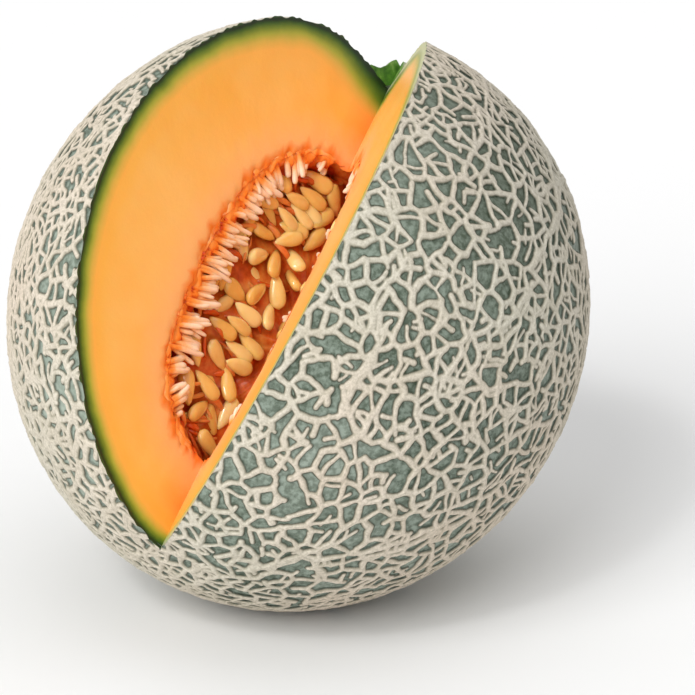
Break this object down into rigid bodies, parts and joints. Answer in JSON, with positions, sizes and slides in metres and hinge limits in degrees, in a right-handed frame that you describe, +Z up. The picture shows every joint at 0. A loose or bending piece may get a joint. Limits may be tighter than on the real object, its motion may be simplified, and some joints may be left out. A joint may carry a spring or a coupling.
{
  "type": "melon",
  "caption": "Netted orange-fleshed melon with one wedge cut out down to the seed cavity, leaning back on a small flat spot of its rind.",
  "frame": {"origin": "centre of the flat resting spot on the underside of the rind", "axes": "+Z up as the melon rests; the stem end points up, back and to +X, and the cut-out wedge opens up and towards -Y"},
  "size_m": [0.1578, 0.1604, 0.1529],
  "materials": {
    "fruit": "matte",
    "seeds_and_pulp": "gloss",
    "stalk": "matte"
  },
  "bodies": {
    "root": {"fruit": "fruit", "seed_mass": "seeds_and_pulp", "stalk_stub": "stalk"}
  },
  "joints": []
}
